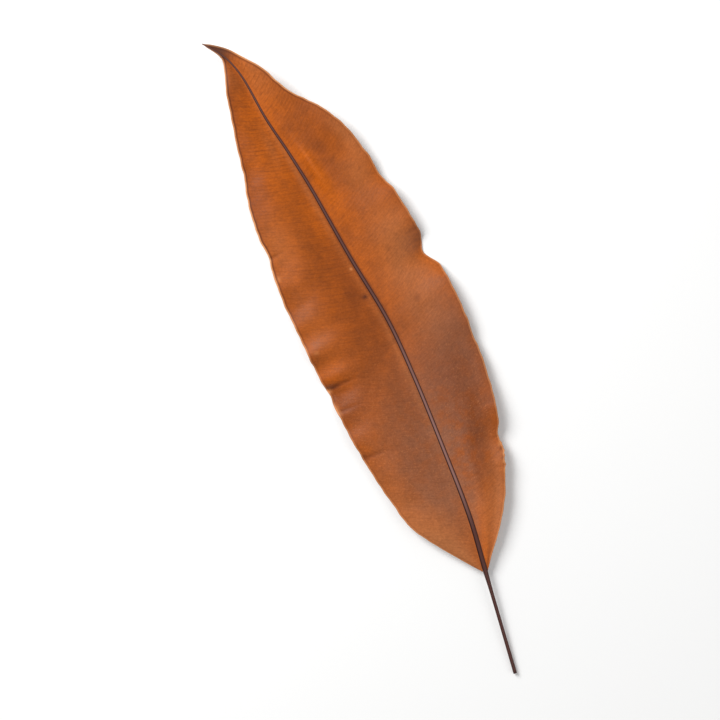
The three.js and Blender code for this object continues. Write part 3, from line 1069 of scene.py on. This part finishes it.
    def skin(self) -> Strip:
        """The whole skin as one ring of points for each row.

        Returns:
            The rings: over the upper face from left to right, round the edge, and back underneath.
        """
        rows, phases = self.rows()
        wings = {(face, side): self.wing(face, side, rows, phases) for face in Face for side in Side}
        ribs = {face: self.rib(face, rows, *(wings[face, side] for side in Side)) for face in Face}
        edges = {side: self.edge(rows, *(wings[face, side] for face in Face)) for side in Side}
        ring = Strip.beside([
            wings[Face.UPPER, Side.LEFT].back(),
            ribs[Face.UPPER],
            wings[Face.UPPER, Side.RIGHT],
            edges[Side.RIGHT],
            wings[Face.UNDER, Side.RIGHT].back(),
            ribs[Face.UNDER].back(),
            wings[Face.UNDER, Side.LEFT],
            edges[Side.LEFT].back(),
        ])
        return self.closed_ends(self.pointed(ring, rows))

    def pointed(self, ring: Strip, rows: Array) -> Strip:
        """Draws the last rings in towards their middles, so that the tip ends fine."""
        share = grown(rows, self.tip_span, 1.0, self.tip_width)[:, None]

        def drawn(places: Array) -> Array:
            middle = 0.5 * (places.min(1, keepdims=True) + places.max(1, keepdims=True))
            return middle + share * (places - middle)

        return Strip(drawn(ring.x), drawn(ring.y), drawn(ring.z), ring.values)

    def closed_ends(self, ring: Strip) -> Strip:
        """Closes the stalk with a bevelled cut face, and draws the tip to a point."""

        def shrunk(row: Array, share: float) -> Array:
            centre = 0.5 * (row.min() + row.max())
            return centre + share * (row - centre)

        places = []
        for array, along in ((ring.x, 0.0), (ring.y, 1.0), (ring.z, 0.0)):
            cap = [shrunk(array[:1], share) + along * push for share, push in self.cut_rings]
            places.append(np.concatenate([*cap, array, shrunk(array[-1:], 0.0)]))
        values = {}
        for name, value in ring.values.items():
            cap = np.repeat(value[:1], len(self.cut_rings), axis=0)
            if name == "cut":
                cap = np.ones_like(cap)
            values[name] = np.concatenate([cap, value, value[-1:]])
        return Strip(*places, values)

    def mesh(self) -> bpy.types.Mesh:
        """Builds the closed skin with its attributes, in metres and in the frame's place."""
        skin = self.skin()
        count, around = skin.x.shape
        points = np.stack([skin.x, skin.y, skin.z], axis=-1).reshape(-1, 3) * MM
        low, high = (np.array(corner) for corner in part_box(NODE))
        middle = 0.5 * (points.min(0) + points.max(0))
        points[:, :2] += 0.5 * (low + high)[:2] - middle[:2]
        index = np.arange(count * around).reshape(count, around)
        beyond = np.roll(index, -1, axis=1)
        quads = np.stack([index[:-1], beyond[:-1], beyond[1:], index[1:]], axis=-1).reshape(-1, 4)
        mesh = bpy.data.meshes.new("leaf_skin")
        mesh.from_pydata(points.tolist(), [], quads.tolist())
        for name, value in skin.values.items():
            layer = mesh.attributes.new(name, "FLOAT", "POINT")
            layer.data.foreach_set("value", np.ascontiguousarray(value, np.float32).ravel())
        self.weld(mesh)
        return mesh

    @staticmethod
    def weld(mesh: bpy.types.Mesh) -> None:
        """Joins the points that lie on each other and smooths the shading."""
        work = bmesh.new()
        work.from_mesh(mesh)
        bmesh.ops.remove_doubles(work, verts=work.verts, dist=TINY)
        bmesh.ops.recalc_face_normals(work, faces=work.faces)
        work.to_mesh(mesh)
        work.free()
        mesh.polygons.foreach_set("use_smooth", np.ones(len(mesh.polygons), bool))
        mesh.update()

    def build(self) -> bpy.types.Object:
        """Builds the leaf, raises its veins, dresses it and sets it in place of the solid."""
        piece = placed("preserved_leaf", self.mesh())
        self.veins.apply(piece, self.finish.painted())
        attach(piece, BODY)
        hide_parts(NODE)
        return piece


@dataclass(frozen=True)
class Lamp:
    """A square soft light that faces the leaf, placed by its bearing round the picture.

    The bearing is in degrees clockwise from the picture's top, the elevation in degrees, the distance
    and the length of its side in metres, and the power in watts.
    """

    name: str
    bearing: float
    elevation: float
    distance: float
    size: float
    power: float


@dataclass
class Studio:
    """The pale floor, a broad key light from the picture's upper left, a weaker fill and the camera."""

    turn: float = math.radians(27)
    lens: float = 100.0
    sensor: float = 36.0
    frame_width: float = 0.385
    floor_size: float = 40.0
    floor_drop: float = 0.0004
    floor_colour: Colour = (0.93, 0.93, 0.925)
    floor_roughness: float = 0.9
    floor_gloss: float = 0.1
    floor_glow: float = 0.12
    world_strength: float = 0.24
    lamps: tuple[Lamp, ...] = (
        Lamp("key", -52, 42, 1.5, 0.8, 24.5),
        Lamp("fill", 110, 40, 1.7, 1.2, 5.5),
    )

    def floor(self) -> None:
        """A plain pale floor just under the leaf."""
        half = 0.5 * self.floor_size
        corners = [(-half, -half), (half, -half), (half, half), (-half, half)]
        mesh = bpy.data.meshes.new("floor")
        mesh.from_pydata([(x, y, -self.floor_drop) for x, y in corners], [], [(0, 1, 2, 3)])
        floor = placed("floor", mesh)
        settings = {
            "Base Color": (*self.floor_colour, 1.0),
            "Roughness": self.floor_roughness,
            "Specular IOR Level": self.floor_gloss,
            "Emission Color": WHITE,
            "Emission Strength": self.floor_glow,
        }
        mesh.materials.append(ShaderSketch("pale_floor").finish(settings))

    def light(self, lamp: Lamp) -> None:
        """Sets up one light."""
        data = bpy.data.lights.new(lamp.name, "AREA")
        data.size = lamp.size
        data.energy = lamp.power
        light = placed(lamp.name, data)
        bearing = math.radians(lamp.bearing) + self.turn
        flat = lamp.distance * math.cos(math.radians(lamp.elevation))
        height = lamp.distance * math.sin(math.radians(lamp.elevation))
        light.location = (flat * math.sin(bearing), flat * math.cos(bearing), height)
        light.rotation_euler = (-light.location).to_track_quat("-Z", "Y").to_euler()

    def surround(self) -> None:
        """A pale, even light from all round."""
        world = bpy.data.worlds.new("surround")
        world.use_nodes = True
        background = world.node_tree.nodes["Background"]
        background.inputs["Color"].default_value = WHITE
        background.inputs["Strength"].default_value = self.world_strength
        bpy.context.scene.world = world

    def camera(self, piece: bpy.types.Object) -> None:
        """Aims the camera straight down at the leaf's middle, turned as it leans in the photograph."""
        points = np.array([vertex.co for vertex in piece.data.vertices])
        right = np.array([math.cos(self.turn), -math.sin(self.turn)])
        up = np.array([math.sin(self.turn), math.cos(self.turn)])
        spans = [points[:, :2] @ axis for axis in (right, up)]
        middle = sum(0.5 * (span.min() + span.max()) * axis for span, axis in zip(spans, (right, up)))
        data = bpy.data.cameras.new("camera")
        data.lens = self.lens
        data.sensor_width = self.sensor
        camera = placed("camera", data)
        camera.location = (*middle, self.frame_width * self.lens / self.sensor)
        camera.rotation_euler = (0.0, 0.0, -self.turn)
        bpy.context.scene.camera = camera

    def build(self, piece: bpy.types.Object) -> None:
        """Sets up the floor, the lights and the camera around the leaf."""
        self.floor()
        for lamp in self.lamps:
            self.light(lamp)
        self.surround()
        self.camera(piece)
        bpy.context.scene.view_settings.view_transform = "Standard"


def main() -> None:
    """Loads the frame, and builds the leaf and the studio."""
    logging.basicConfig(level=logging.INFO, format="%(name)s: %(message)s")
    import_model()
    piece = Leaf().build()
    log.info("%s: %d points, %d faces", piece.name, len(piece.data.vertices), len(piece.data.polygons))
    Studio().build(piece)


if __name__ == "__main__":
    main()
